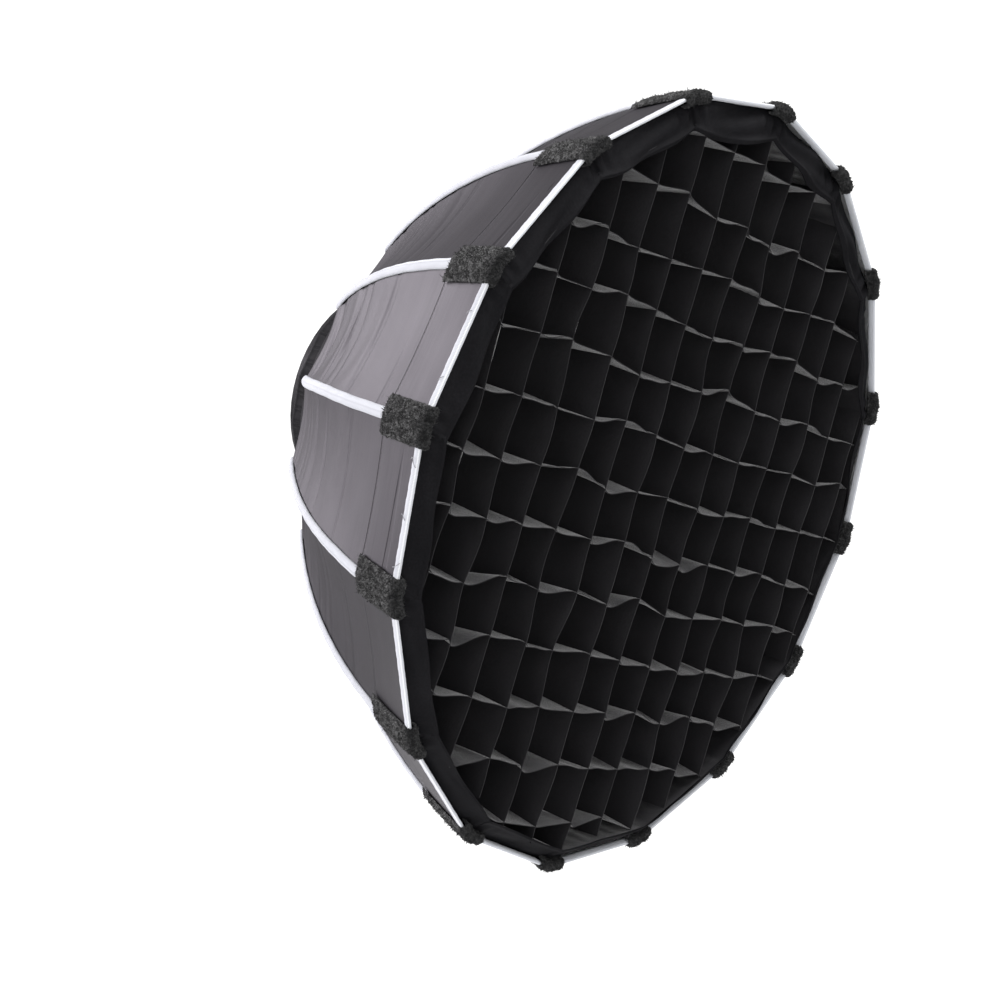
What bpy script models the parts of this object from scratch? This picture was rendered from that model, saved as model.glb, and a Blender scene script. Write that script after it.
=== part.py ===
"""Sixteen-rod folding softbox with a bayonet rear mount, in metres, +Z up.

The optical axis is Y. The box opens towards -Y, and the lamp's seating face is the plane y = 0.
Sixteen bent rods turn on a ring-shaped hinge wire in the speed ring and stretch a fabric shell.
Every rod follows one circular arc in a plane through the axis, so each place on the shell is given by
the arc's angle there: the angle between the rod's direction and the axis.
"""
from math import acos, asin, cos, pi, radians, sin

import bmesh
import bpy
from mathutils import Matrix, Vector

# The box
SIDES = 16
SECTOR = 2 * pi / SIDES
RIM_RADIUS = 0.275  # corner of the front rim, to the outer face of the fabric
HINGE_RADIUS = 0.0745
HINGE_Y = -0.020
TIP_ANGLE = radians(15)
ROOT_ANGLE = radians(57)

# Rods and their knuckles
ROD_RADIUS = 0.00175
ROD_INSET = 0.0055  # rod centre below the outer face of the fabric
ROD_TIP_SETBACK = 0.007  # rod end behind the rim, along the rod
KNUCKLE_WIDTH = 0.006
KNUCKLE_EYE_RADIUS = 0.0045
KNUCKLE_ARM_HEIGHT = 0.0066
KNUCKLE_ARM_REACH = 0.027  # hinge to the end of the arm
SOCKET_START = 0.0115
SOCKET_RADIUS = 0.0022
ROD_START = 0.012

# Speed ring, seen from the axis outwards and from the lamp forwards
BORE_RADIUS = 0.052
RING_RADIUS = 0.088
RING_REAR_Y = -0.011
RING_FRONT_Y = -0.030
SLOT_WIDTH = 0.0072
SLOT_INNER_RADIUS = 0.068
SLOT_REAR_Y = -0.0135
WIRE_RADIUS = 0.0015
WIRE_CLEARANCE = 0.0004
WIRE_GROOVE_REAR_Y = -0.018
EDGE = 0.0008  # chamfer on turned edges
GAP = 0.0003  # between neighbouring solids

COVER_RADIUS = 0.0845
COVER_THICKNESS = 0.003

# Bayonet collar
FLANGE_RADIUS = 0.080
SPIGOT_RADIUS = 0.049
LIGHT_PATH_RADIUS = 0.0455
SPIGOT_REAR_Y = 0.012
LUG_RADIUS = 0.0595
LUG_COUNT = 3
LUG_WIDTH = 0.030
LUG_FRONT_Y = 0.0070
LUG_REAR_Y = 0.0108

SCREW_COUNT = 3
SCREW_CIRCLE_RADIUS = 0.0605
SCREW_RADIUS = 0.002
SCREW_HOLE_RADIUS = 0.0023
SCREW_HEAD_RADIUS = 0.0038
SCREW_HEAD_HEIGHT = 0.0024
SCREW_HOLE_REAR_Y = -0.004

# Fabric parts
FABRIC = 0.001
SEAM_GAP = 0.0004
PANEL_REAR_RADIUS = 0.151
COLLAR_REAR_RADIUS = 0.0915
BORDER_WIDTH = 0.018
BORDER_RISE = 0.0095  # inner edge of the border in front of the rim, where the grid's weight draws it
GRID_CELL = 0.039
GRID_DEPTH = 0.038
GRID_STRIP = 0.001
GRID_CLEARANCE = 0.0015
FRONT_DIFFUSER_SETBACK = 0.049
INNER_DIFFUSER_SHELL_RADIUS = 0.200  # the shell's radius where the inner diffuser hangs

# Detail of the solids
RING_STEPS = 3 * SIDES
ROD_POINTS = 10
PANEL_ROWS = 8
COLLAR_ROWS = 3

# The rods' arc. The shell's outer face is an arc about the same centre, ROD_INSET further out.
ROD_BEND = (RIM_RADIUS - ROD_INSET * cos(TIP_ANGLE) - HINGE_RADIUS) / (cos(TIP_ANGLE) - cos(ROOT_ANGLE))
SHELL_BEND = ROD_BEND + ROD_INSET
ARC_CENTRE_R = HINGE_RADIUS - ROD_BEND * cos(ROOT_ANGLE)
ARC_CENTRE_Y = HINGE_Y - ROD_BEND * sin(ROOT_ANGLE)
RIM_Y = ARC_CENTRE_Y + SHELL_BEND * sin(TIP_ANGLE)


def arc_point(bend, angle):
    """Radius and y of the point at an angle on an arc of the given bend radius."""
    return ARC_CENTRE_R + bend * cos(angle), ARC_CENTRE_Y + bend * sin(angle)


def shell_angle_at_radius(radius):
    return acos((radius - ARC_CENTRE_R) / SHELL_BEND)


def rod_inner_radius_at(y):
    """Distance from the axis to the inner side of a rod, in the plane at y."""
    angle = asin((y - ARC_CENTRE_Y) / ROD_BEND)
    return arc_point(ROD_BEND, angle)[0] - ROD_RADIUS / cos(angle)


def clear_scene():
    for obj in list(bpy.data.objects):
        bpy.data.objects.remove(obj, do_unlink=True)


def new_collection(name):
    collection = bpy.data.collections.new(name)
    bpy.context.scene.collection.children.link(collection)
    return collection


def new_material(name, colour, roughness, metallic=0.0):
    material = bpy.data.materials.new(name)
    material.use_nodes = True
    shader = material.node_tree.nodes["Principled BSDF"]
    shader.inputs["Base Color"].default_value = (*colour, 1.0)
    shader.inputs["Roughness"].default_value = roughness
    shader.inputs["Metallic"].default_value = metallic
    material.diffuse_color = (*colour, 1.0)
    return material


def add_object(name, mesh, material=None, collection=None):
    obj = bpy.data.objects.new(name, mesh)
    (collection or PARTS).objects.link(obj)
    if material:
        mesh.materials.clear()
        mesh.materials.append(material)
    return obj


def smooth(mesh):
    mesh.shade_smooth()
    mesh.set_sharp_from_angle(angle=radians(35))
    return mesh


def evaluated_mesh(obj, name):
    """A copy of the object's mesh with its modifiers applied; the object is removed."""
    bpy.context.view_layer.update()
    graph = bpy.context.evaluated_depsgraph_get()
    mesh = bpy.data.meshes.new_from_object(obj.evaluated_get(graph))
    mesh.name = name
    mesh.transform(obj.matrix_world)
    bpy.data.objects.remove(obj, do_unlink=True)
    return mesh


def boolean(obj, operation, cutter):
    modifier = obj.modifiers.new(cutter.name, "BOOLEAN")
    modifier.operation = operation
    modifier.object = cutter
    modifier.solver = "EXACT"
    cutter.display_type = "WIRE"
    cutter.hide_render = True


def turned_mesh(name, profile, steps=RING_STEPS, closed=True):
    """A solid turned about Y from a profile of (radius, y) points, and its modifiers applied.

    A closed profile makes a ring. An open one starts and ends on the axis.
    """
    mesh = bpy.data.meshes.new(name)
    points = [(radius, y, 0.0) for radius, y in profile]
    edges = [(i, i + 1) for i in range(len(points) - 1)]
    if closed:
        edges.append((len(points) - 1, 0))
    mesh.from_pydata(points, edges, [])
    obj = add_object(name, mesh, collection=CUTTERS)
    screw = obj.modifiers.new("Turn", "SCREW")
    screw.axis = "Y"
    screw.steps = screw.render_steps = steps
    screw.use_merge_vertices = True
    screw.merge_threshold = 0.00001
    mesh = evaluated_mesh(obj, name)
    shape = bmesh.new()
    shape.from_mesh(mesh)
    bmesh.ops.recalc_face_normals(shape, faces=shape.faces)
    shape.to_mesh(mesh)
    shape.free()
    return mesh


def ring_profile(inner, outer, rear_y, front_y, edge=EDGE):
    """Outline of a plain ring with chamfered corners."""
    return [
        (inner + edge, rear_y), (outer - edge, rear_y), (outer, rear_y - edge),
        (outer, front_y + edge), (outer - edge, front_y), (inner + edge, front_y),
        (inner, front_y + edge), (inner, rear_y - edge),
    ]


def radial_boxes(name, angles, inner, outer, width, rear_y, front_y):
    """One cutter holding a box along the radius at each angle, measured about Y from +Z."""
    tool = bmesh.new()
    size = (width, rear_y - front_y, outer - inner)
    place = Matrix.Translation((0, (rear_y + front_y) / 2, (inner + outer) / 2)) @ Matrix.Diagonal((*size, 1))
    for angle in angles:
        bmesh.ops.create_cube(tool, size=1, matrix=Matrix.Rotation(angle, 4, "Y") @ place)
    mesh = bpy.data.meshes.new(name)
    tool.to_mesh(mesh)
    tool.free()
    return add_object(name, mesh, collection=CUTTERS)


def pins(name, angles, circle_radius, radius, rear_y, front_y):
    """One cutter holding a pin along Y at each angle about the axis."""
    tool = bmesh.new()
    for angle in angles:
        place = (
            Matrix.Rotation(angle, 4, "Y")
            @ Matrix.Translation((0, (rear_y + front_y) / 2, circle_radius))
            @ Matrix.Rotation(pi / 2, 4, "X")
        )
        bmesh.ops.create_cone(
            tool, cap_ends=True, segments=12, radius1=radius, radius2=radius,
            depth=rear_y - front_y, matrix=place,
        )
    mesh = bpy.data.meshes.new(name)
    tool.to_mesh(mesh)
    tool.free()
    return add_object(name, mesh, collection=CUTTERS)


def hub_parts(metal, dark_metal):
    """Speed ring, its wire, cover and screws, and the bayonet collar behind it."""
    slots = radial_boxes(
        "slot_cutters", ROD_ANGLES, SLOT_INNER_RADIUS, RING_RADIUS + 0.005, SLOT_WIDTH,
        SLOT_REAR_Y, RING_FRONT_Y - 0.010,
    )
    screw_holes = pins(
        "screw_hole_cutters", SCREW_ANGLES, SCREW_CIRCLE_RADIUS, SCREW_HOLE_RADIUS,
        SCREW_HOLE_REAR_Y, RING_FRONT_Y - 0.010,
    )

    groove = WIRE_RADIUS + WIRE_CLEARANCE
    ring = [
        (BORE_RADIUS + EDGE, RING_REAR_Y), (RING_RADIUS - EDGE, RING_REAR_Y),
        (RING_RADIUS, RING_REAR_Y - EDGE), (RING_RADIUS, RING_FRONT_Y + EDGE),
        (RING_RADIUS - EDGE, RING_FRONT_Y), (HINGE_RADIUS + groove, RING_FRONT_Y),
        (HINGE_RADIUS + groove, WIRE_GROOVE_REAR_Y), (HINGE_RADIUS - groove, WIRE_GROOVE_REAR_Y),
        (HINGE_RADIUS - groove, RING_FRONT_Y), (BORE_RADIUS, RING_FRONT_Y), (BORE_RADIUS, RING_REAR_Y - EDGE),
    ]
    speed_ring = add_object("speed_ring", smooth(turned_mesh("speed_ring", ring)), metal)
    boolean(speed_ring, "DIFFERENCE", slots)
    boolean(speed_ring, "DIFFERENCE", screw_holes)

    bpy.ops.mesh.primitive_torus_add(
        major_radius=HINGE_RADIUS, minor_radius=WIRE_RADIUS, major_segments=RING_STEPS, minor_segments=8,
        location=(0, HINGE_Y, 0), rotation=(pi / 2, 0, 0),
    )
    wire = bpy.context.object
    wire.name = "hinge_wire"
    for owner in list(wire.users_collection):
        owner.objects.unlink(wire)
    PARTS.objects.link(wire)
    wire.data.materials.append(dark_metal)

    cover_front_y = RING_FRONT_Y - GAP - COVER_THICKNESS
    cover = ring_profile(BORE_RADIUS, COVER_RADIUS, RING_FRONT_Y - GAP, cover_front_y)
    ring_cover = add_object("ring_cover", smooth(turned_mesh("ring_cover", cover)), dark_metal)
    boolean(ring_cover, "DIFFERENCE", slots)
    boolean(ring_cover, "DIFFERENCE", screw_holes)

    flange_front_y = RING_REAR_Y + GAP
    collar = [
        (SPIGOT_RADIUS - EDGE, SPIGOT_REAR_Y), (SPIGOT_RADIUS, SPIGOT_REAR_Y - EDGE), (SPIGOT_RADIUS, 0),
        (FLANGE_RADIUS - EDGE, 0), (FLANGE_RADIUS, -EDGE), (FLANGE_RADIUS, flange_front_y),
        (LIGHT_PATH_RADIUS, flange_front_y), (LIGHT_PATH_RADIUS, SPIGOT_REAR_Y),
    ]
    lug_section = ring_profile(LIGHT_PATH_RADIUS + 0.001, LUG_RADIUS, LUG_REAR_Y, LUG_FRONT_Y)
    lugs = add_object("lug_shapes", turned_mesh("lug_ring", lug_section), collection=CUTTERS)
    lug_boxes = radial_boxes(
        "lug_cutters", LUG_ANGLES, LIGHT_PATH_RADIUS - 0.010, LUG_RADIUS + 0.010, LUG_WIDTH,
        LUG_REAR_Y + 0.002, LUG_FRONT_Y - 0.002,
    )
    boolean(lugs, "INTERSECT", lug_boxes)
    bayonet = add_object("bayonet_collar", smooth(turned_mesh("bayonet_collar", collar)), metal)
    boolean(bayonet, "UNION", lugs)
    boolean(bayonet, "DIFFERENCE", screw_holes)

    head_rear_y = cover_front_y - GAP
    head_front_y = head_rear_y - SCREW_HEAD_HEIGHT
    screw = [
        (0, SCREW_HOLE_REAR_Y - GAP), (SCREW_RADIUS, SCREW_HOLE_REAR_Y - GAP), (SCREW_RADIUS, head_rear_y),
        (SCREW_HEAD_RADIUS, head_rear_y), (SCREW_HEAD_RADIUS, head_front_y + EDGE),
        (SCREW_HEAD_RADIUS - EDGE, head_front_y), (0, head_front_y),
    ]
    screw_mesh = smooth(turned_mesh("ring_screw", screw, steps=12, closed=False))
    for number, angle in enumerate(SCREW_ANGLES, start=1):
        obj = add_object(f"ring_screw_{number}", screw_mesh, dark_metal)
        obj.location = Matrix.Rotation(angle, 4, "Y") @ Vector((0, 0, SCREW_CIRCLE_RADIUS))


def rod_local(distance):
    """Place on the rod at a distance from its hinge, in its own frame: Z radial, origin on the hinge."""
    radius, y = arc_point(ROD_BEND, ROOT_ANGLE - distance / ROD_BEND)
    return Vector((0, y - HINGE_Y, radius - HINGE_RADIUS))


def rod_frame(distance):
    """Matrix at a distance along the rod, with its Z along the rod towards the tip."""
    turn = pi / 2 - (ROOT_ANGLE - distance / ROD_BEND)
    return Matrix.Translation(rod_local(distance)) @ Matrix.Rotation(turn, 4, "X")


def knuckle_mesh():
    """Eye on the hinge wire, and an arm with a socket for the rod."""
    shape = bmesh.new()
    bmesh.ops.create_cone(
        shape, cap_ends=True, segments=12, radius1=KNUCKLE_EYE_RADIUS, radius2=KNUCKLE_EYE_RADIUS,
        depth=KNUCKLE_WIDTH, matrix=Matrix.Rotation(pi / 2, 4, "Y"),
    )
    mesh = bpy.data.meshes.new("knuckle_eye")
    shape.to_mesh(mesh)
    shape.clear()
    knuckle = add_object("knuckle_eye", mesh, collection=CUTTERS)

    arm_size = (KNUCKLE_WIDTH - 0.0002, KNUCKLE_ARM_HEIGHT, KNUCKLE_ARM_REACH)
    bmesh.ops.create_cube(
        shape, size=1, matrix=rod_frame(KNUCKLE_ARM_REACH / 2) @ Matrix.Diagonal((*arm_size, 1)),
    )
    mesh = bpy.data.meshes.new("knuckle_arm")
    shape.to_mesh(mesh)
    shape.clear()
    arm = add_object("knuckle_arm", mesh, collection=CUTTERS)

    wire_bore = 2 * KNUCKLE_WIDTH
    bmesh.ops.create_cone(
        shape, cap_ends=True, segments=12, radius1=WIRE_RADIUS + WIRE_CLEARANCE,
        radius2=WIRE_RADIUS + WIRE_CLEARANCE, depth=wire_bore, matrix=Matrix.Rotation(pi / 2, 4, "Y"),
    )
    socket_depth = KNUCKLE_ARM_REACH + 0.002 - SOCKET_START
    bmesh.ops.create_cone(
        shape, cap_ends=True, segments=10, radius1=SOCKET_RADIUS, radius2=SOCKET_RADIUS,
        depth=socket_depth, matrix=rod_frame(SOCKET_START + socket_depth / 2),
    )
    mesh = bpy.data.meshes.new("knuckle_holes")
    shape.to_mesh(mesh)
    shape.free()
    holes = add_object("knuckle_holes", mesh, collection=CUTTERS)

    boolean(knuckle, "UNION", arm)
    boolean(knuckle, "DIFFERENCE", holes)
    return smooth(evaluated_mesh(knuckle, "rod_knuckle"))


def rod_curve():
    """A bent round rod as a polyline with a bevel."""
    curve = bpy.data.curves.new("rod", "CURVE")
    curve.dimensions = "3D"
    curve.bevel_depth = ROD_RADIUS
    curve.bevel_resolution = 2
    curve.use_fill_caps = True
    end = ROD_BEND * (ROOT_ANGLE - TIP_ANGLE) - ROD_TIP_SETBACK
    spline = curve.splines.new("POLY")
    spline.points.add(ROD_POINTS - 1)
    for i, point in enumerate(spline.points):
        distance = ROD_START + (end - ROD_START) * i / (ROD_POINTS - 1)
        point.co = (*rod_local(distance), 1)
    return curve


def panel_mesh():
    """One gore of the shell, about the plane x = 0, straight from seam to seam and bent along the rods."""
    rear_angle = shell_angle_at_radius(PANEL_REAR_RADIUS)
    shape = bmesh.new()
    bmesh.ops.create_grid(shape, x_segments=1, y_segments=PANEL_ROWS, size=1)
    for vertex in shape.verts:
        across, along = vertex.co.x, (vertex.co.y + 1) / 2
        radius, y = arc_point(SHELL_BEND, TIP_ANGLE + (rear_angle - TIP_ANGLE) * along)
        half_width = radius * sin(SECTOR / 2) - SEAM_GAP / 2
        vertex.co = (across * half_width, y, radius * cos(SECTOR / 2))
    mesh = bpy.data.meshes.new("shell_panel")
    shape.to_mesh(mesh)
    shape.free()
    panel = add_object("panel_surface", mesh, collection=CUTTERS)
    solidify = panel.modifiers.new("Fabric", "SOLIDIFY")
    solidify.thickness = FABRIC
    solidify.offset = -1 if mesh.polygons[0].normal.z > 0 else 1
    return evaluated_mesh(panel, "shell_panel")


def ribs(steel, plastic, nylon):
    """Each rib: an empty on its hinge, holding the rod, its knuckle and the panel beside it."""
    knuckle = knuckle_mesh()
    rod = rod_curve()
    rod.materials.append(steel)
    panel = panel_mesh()
    for number, angle in enumerate(ROD_ANGLES, start=1):
        turn = Matrix.Rotation(angle, 4, "Y")
        hinge = turn @ Matrix.Translation((0, HINGE_Y, HINGE_RADIUS))
        empty = bpy.data.objects.new(f"rib_{number:02d}_hinge", None)
        empty.matrix_world = hinge
        PARTS.objects.link(empty)

        rod_object = bpy.data.objects.new(f"rod_{number:02d}", rod)
        PARTS.objects.link(rod_object)
        rod_object.parent = empty
        knuckle_object = add_object(f"rod_knuckle_{number:02d}", knuckle, plastic)
        knuckle_object.parent = empty

        panel_object = add_object(f"shell_panel_{number:02d}", panel, nylon)
        panel_object.parent = empty
        panel_object.matrix_parent_inverse = hinge.inverted()
        panel_object.matrix_basis = turn @ Matrix.Rotation(SECTOR / 2, 4, "Y")


def shell_collar(nylon):
    """Unseamed rear part of the shell, from the panels to the speed ring."""
    front = shell_angle_at_radius(PANEL_REAR_RADIUS) + SEAM_GAP / SHELL_BEND
    rear = shell_angle_at_radius(COLLAR_REAR_RADIUS)
    angles = [rear + (front - rear) * i / COLLAR_ROWS for i in range(COLLAR_ROWS + 1)]
    outer = [arc_point(SHELL_BEND, angle) for angle in angles]
    inner = [arc_point(SHELL_BEND - FABRIC, angle) for angle in reversed(angles)]
    add_object("rear_collar", turned_mesh("rear_collar", outer + inner, steps=SIDES), nylon)


def sheet_disc(name, corner_radius, rear_y, material):
    """A sixteen-sided sheet across the axis."""
    outline = [(0, rear_y), (corner_radius, rear_y), (corner_radius, rear_y - FABRIC), (0, rear_y - FABRIC)]
    add_object(name, turned_mesh(name, outline, steps=SIDES, closed=False), material)


def depth_inside(x, z, corner_radius):
    """How far a place in the grid's plane is inside a sixteen-sided outline; negative outside it."""
    sides = [SECTOR * (number + 0.5) for number in range(SIDES)]
    return corner_radius * cos(SECTOR / 2) - max(x * sin(angle) + z * cos(angle) for angle in sides)


def grid_cells(outline_radius, front_y, rear_y):
    """Two cutters: the square cells wholly inside the outline, and those that it crosses."""
    opening = GRID_CELL - GRID_STRIP
    size = Matrix.Diagonal((opening, rear_y - front_y + 0.004, opening, 1))
    reach = int(outline_radius / GRID_CELL) + 1
    whole, edge = bmesh.new(), bmesh.new()
    for column in range(-reach, reach):
        for row in range(-reach, reach):
            x, z = (column + 0.5) * GRID_CELL, (row + 0.5) * GRID_CELL
            corners = [(x + side * opening / 2, z + end * opening / 2) for side in (-1, 1) for end in (-1, 1)]
            depths = [depth_inside(*corner, outline_radius) for corner in corners]
            if max(depths) > 0.008:
                place = Matrix.Translation((x, (front_y + rear_y) / 2, z))
                bmesh.ops.create_cube(whole if min(depths) > 0.0005 else edge, size=1, matrix=place @ size)
    cutters = []
    for name, shape in (("whole_cells", whole), ("edge_cells", edge)):
        mesh = bpy.data.meshes.new(name)
        shape.to_mesh(mesh)
        shape.free()
        cutters.append(add_object(name, mesh, collection=CUTTERS))
    return cutters


def front_parts(black, diffuser):
    """Border, grid and the two diffusers."""
    border_outer = RIM_RADIUS - 2 * FABRIC
    border_inner = border_outer - BORDER_WIDTH
    border = [
        (border_outer, RIM_Y + FABRIC), (border_outer, RIM_Y),
        (border_inner, RIM_Y - BORDER_RISE), (border_inner, RIM_Y - BORDER_RISE + FABRIC),
    ]
    add_object("grid_border", turned_mesh("grid_border", border, steps=SIDES), black)

    # the grid's outer wall stands just behind the border, a little outside its inner edge
    grid_radius = border_inner + GRID_STRIP
    grid_front_y = RIM_Y - BORDER_RISE * (border_outer - grid_radius) / BORDER_WIDTH + FABRIC + GAP
    grid_rear_y = grid_front_y + GRID_DEPTH
    slab = [(0, grid_rear_y), (grid_radius, grid_rear_y), (grid_radius, grid_front_y), (0, grid_front_y)]
    inner_radius = grid_radius - GRID_STRIP / cos(SECTOR / 2)
    limit = [
        (0, grid_rear_y + 0.005), (inner_radius, grid_rear_y + 0.005),
        (inner_radius, grid_front_y - 0.005), (0, grid_front_y - 0.005),
    ]
    whole_cells, edge_cells = grid_cells(inner_radius, grid_front_y, grid_rear_y)
    outline = turned_mesh("grid_limit", limit, SIDES, closed=False)
    outline = add_object("grid_limit", outline, collection=CUTTERS)
    boolean(edge_cells, "INTERSECT", outline)
    grid = add_object("grid", turned_mesh("grid", slab, steps=SIDES, closed=False), black)
    boolean(grid, "DIFFERENCE", whole_cells)
    boolean(grid, "DIFFERENCE", edge_cells)

    front_y = RIM_Y + FRONT_DIFFUSER_SETBACK
    sheet_disc("front_diffuser", rod_inner_radius_at(front_y) - GRID_CLEARANCE, front_y, diffuser)
    inner_y = arc_point(SHELL_BEND, shell_angle_at_radius(INNER_DIFFUSER_SHELL_RADIUS))[1]
    sheet_disc("inner_diffuser", rod_inner_radius_at(inner_y - FABRIC) - GRID_CLEARANCE, inner_y, diffuser)


ROD_ANGLES = [SECTOR * number for number in range(SIDES)]
SCREW_ANGLES = [SECTOR / 2 + 2 * pi * number / SCREW_COUNT for number in range(SCREW_COUNT)]
LUG_ANGLES = [2 * pi * number / LUG_COUNT for number in range(LUG_COUNT)]

clear_scene()
PARTS = new_collection("octabox")
CUTTERS = new_collection("cutters")
black_nylon = new_material("black_nylon", (0.075, 0.075, 0.080), 0.55)
black_fabric = new_material("black_fabric", (0.012, 0.012, 0.014), 0.8)
white_diffuser = new_material("white_diffuser", (0.85, 0.85, 0.84), 0.7)
spring_steel = new_material("spring_steel", (0.45, 0.45, 0.46), 0.35, 1.0)
black_plastic = new_material("black_plastic", (0.02, 0.02, 0.02), 0.5)
anodised_aluminium = new_material("black_anodised", (0.06, 0.06, 0.065), 0.4, 0.8)
zinc_steel = new_material("zinc_steel", (0.55, 0.55, 0.55), 0.35, 1.0)

hub_parts(anodised_aluminium, zinc_steel)
ribs(spring_steel, black_plastic, black_nylon)
shell_collar(black_nylon)
front_parts(black_fabric, white_diffuser)
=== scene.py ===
"""The folding softbox's look, as the camera sees it.

The cloth is made here in place of its CAD solids: the shell in sectors that each ride one rod, and the
grid and diffusers in wedges round the axis, on the hub. Rods, knuckles and ring parts are CAD's own,
with finishes from here.
"""
from math import cos, pi, radians, sin

import bpy
import numpy as np
from mathutils import Matrix, Vector


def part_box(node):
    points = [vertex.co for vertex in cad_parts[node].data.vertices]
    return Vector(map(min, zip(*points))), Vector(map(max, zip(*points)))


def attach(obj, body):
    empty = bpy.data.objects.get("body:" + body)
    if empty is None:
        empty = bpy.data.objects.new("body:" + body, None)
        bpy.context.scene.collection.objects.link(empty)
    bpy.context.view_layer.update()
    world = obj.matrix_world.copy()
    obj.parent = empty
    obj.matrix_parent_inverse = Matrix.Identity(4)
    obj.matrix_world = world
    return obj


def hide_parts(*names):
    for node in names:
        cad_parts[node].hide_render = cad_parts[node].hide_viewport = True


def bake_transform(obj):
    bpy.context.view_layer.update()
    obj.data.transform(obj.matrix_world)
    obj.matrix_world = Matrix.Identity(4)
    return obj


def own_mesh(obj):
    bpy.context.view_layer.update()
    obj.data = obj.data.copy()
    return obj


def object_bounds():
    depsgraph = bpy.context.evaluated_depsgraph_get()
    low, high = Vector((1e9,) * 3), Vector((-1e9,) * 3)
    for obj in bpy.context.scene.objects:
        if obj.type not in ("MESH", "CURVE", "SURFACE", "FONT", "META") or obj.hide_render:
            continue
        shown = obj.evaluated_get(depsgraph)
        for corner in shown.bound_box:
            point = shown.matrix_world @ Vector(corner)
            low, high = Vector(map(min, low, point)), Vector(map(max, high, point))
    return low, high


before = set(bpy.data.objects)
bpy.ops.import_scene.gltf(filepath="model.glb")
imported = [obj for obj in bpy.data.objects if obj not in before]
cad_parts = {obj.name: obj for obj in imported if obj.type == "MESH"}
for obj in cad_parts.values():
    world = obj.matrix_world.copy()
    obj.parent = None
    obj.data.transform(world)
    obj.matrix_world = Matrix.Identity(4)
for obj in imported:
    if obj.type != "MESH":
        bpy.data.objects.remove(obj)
cad_box = [list(corner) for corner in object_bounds()]

# The frame's own sizes, in metres
SIDES = 16
SECTOR = 2 * pi / SIDES
SHELL_BEND = 0.46882  # radius of the arc that the fabric's corners follow
ARC_R, ARC_Y = -0.17784, -0.40857  # that arc's centre, in any plane through the axis
TIP_ANGLE = radians(15)
PANEL_REAR_ANGLE = radians(45.4)
COLLAR_REAR_ANGLE = radians(54.6)
FABRIC = 0.001
RIM_RADIUS = 0.275
RIM_Y = ARC_Y + SHELL_BEND * sin(TIP_ANGLE)
BORDER_OUTER, BORDER_INNER = 0.2722, 0.255
BORDER_RECESS = 0.006  # the border is held this far behind the rim, past the tape's inner edge
BORDER_RISE = 0.0095  # and its inner edge is up to this far in front of the rim
CELL = 0.039
GRID_FRONT_Y, GRID_REAR_Y = RIM_Y - 0.0030, RIM_Y + 0.0298
GRID_RADIUS = 0.2560
GRID_CLOTH = 0.0005
GRID_SAG = 0.0040  # how far its own weight lowers the grid
GRID_BULGE = 0.0028  # and draws its middle forwards
GRID_STEP, SHELL_STEP = 0.0033, 0.0026  # between the rows of points along a strip and along a panel
DIFFUSER_CLEAR = 0.0025  # from a diffuser's edge to the shell, which draws in as it folds

WEDGES = 32  # in the grid and in each diffuser, each one round a rod or midway between two
PANEL_BANDS, COLLAR_BANDS = 5, 2  # the panel has one band more, at its hem
CREASES_PER_PANEL = 11
COLLAR_UNDER = 0.0014  # how far the collar lies under the panels
CUFF_RADIUS, CUFF_DEPTH, CUFF_FULLNESS = 0.0915, 0.0170, 1.15

# Trim
HEM = 0.045  # from the rim to the stitched line, and the length of a corner patch
HEM_ANGLE = TIP_ANGLE + HEM / SHELL_BEND
TAPE_WIDTH, TAPE_HEIGHT = 0.0080, 0.0021
PATCH_WIDTH = 0.027
RIM_TAPE_WIDTH = 0.0042
RIM_FOLD_UV = 0.0055  # where a rim tape turns over the rim, across its cloth, and where a painted highlight runs along that fold

RNG = np.random.default_rng(16)


# ---------------------------------------------------------------- places on the box

def ring_points(s, r, y):
    """Points on a sixteen-sided ring of corner radius r. s counts rods, with halves between them."""
    s, r, y = np.broadcast_arrays(np.asarray(s, float), r, y)
    panel = np.floor(s)
    across = s - panel
    a, b = panel * SECTOR, (panel + 1) * SECTOR
    x = r * ((1 - across) * np.sin(a) + across * np.sin(b))
    z = r * ((1 - across) * np.cos(a) + across * np.cos(b))
    return np.stack([x, y, z], -1)


def shell_profile(theta, lift=0.0):
    """Corner radius and y of the shell at an angle on its arc, lift metres out from the fabric's face."""
    bend = SHELL_BEND + lift
    return ARC_R + bend * np.cos(theta), ARC_Y + bend * np.sin(theta)


def shell_points(s, theta, lift=0.0):
    return ring_points(s, *shell_profile(theta, lift))


def chord(r):
    """Length of one side of a sixteen-sided ring whose corner radius is r."""
    return 2 * r * sin(SECTOR / 2)


def radial(k):
    return Vector((sin(k * SECTOR), 0, cos(k * SECTOR)))


def tangent(k):
    return Vector((cos(k * SECTOR), 0, -sin(k * SECTOR)))


# ---------------------------------------------------------------- meshes

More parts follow.
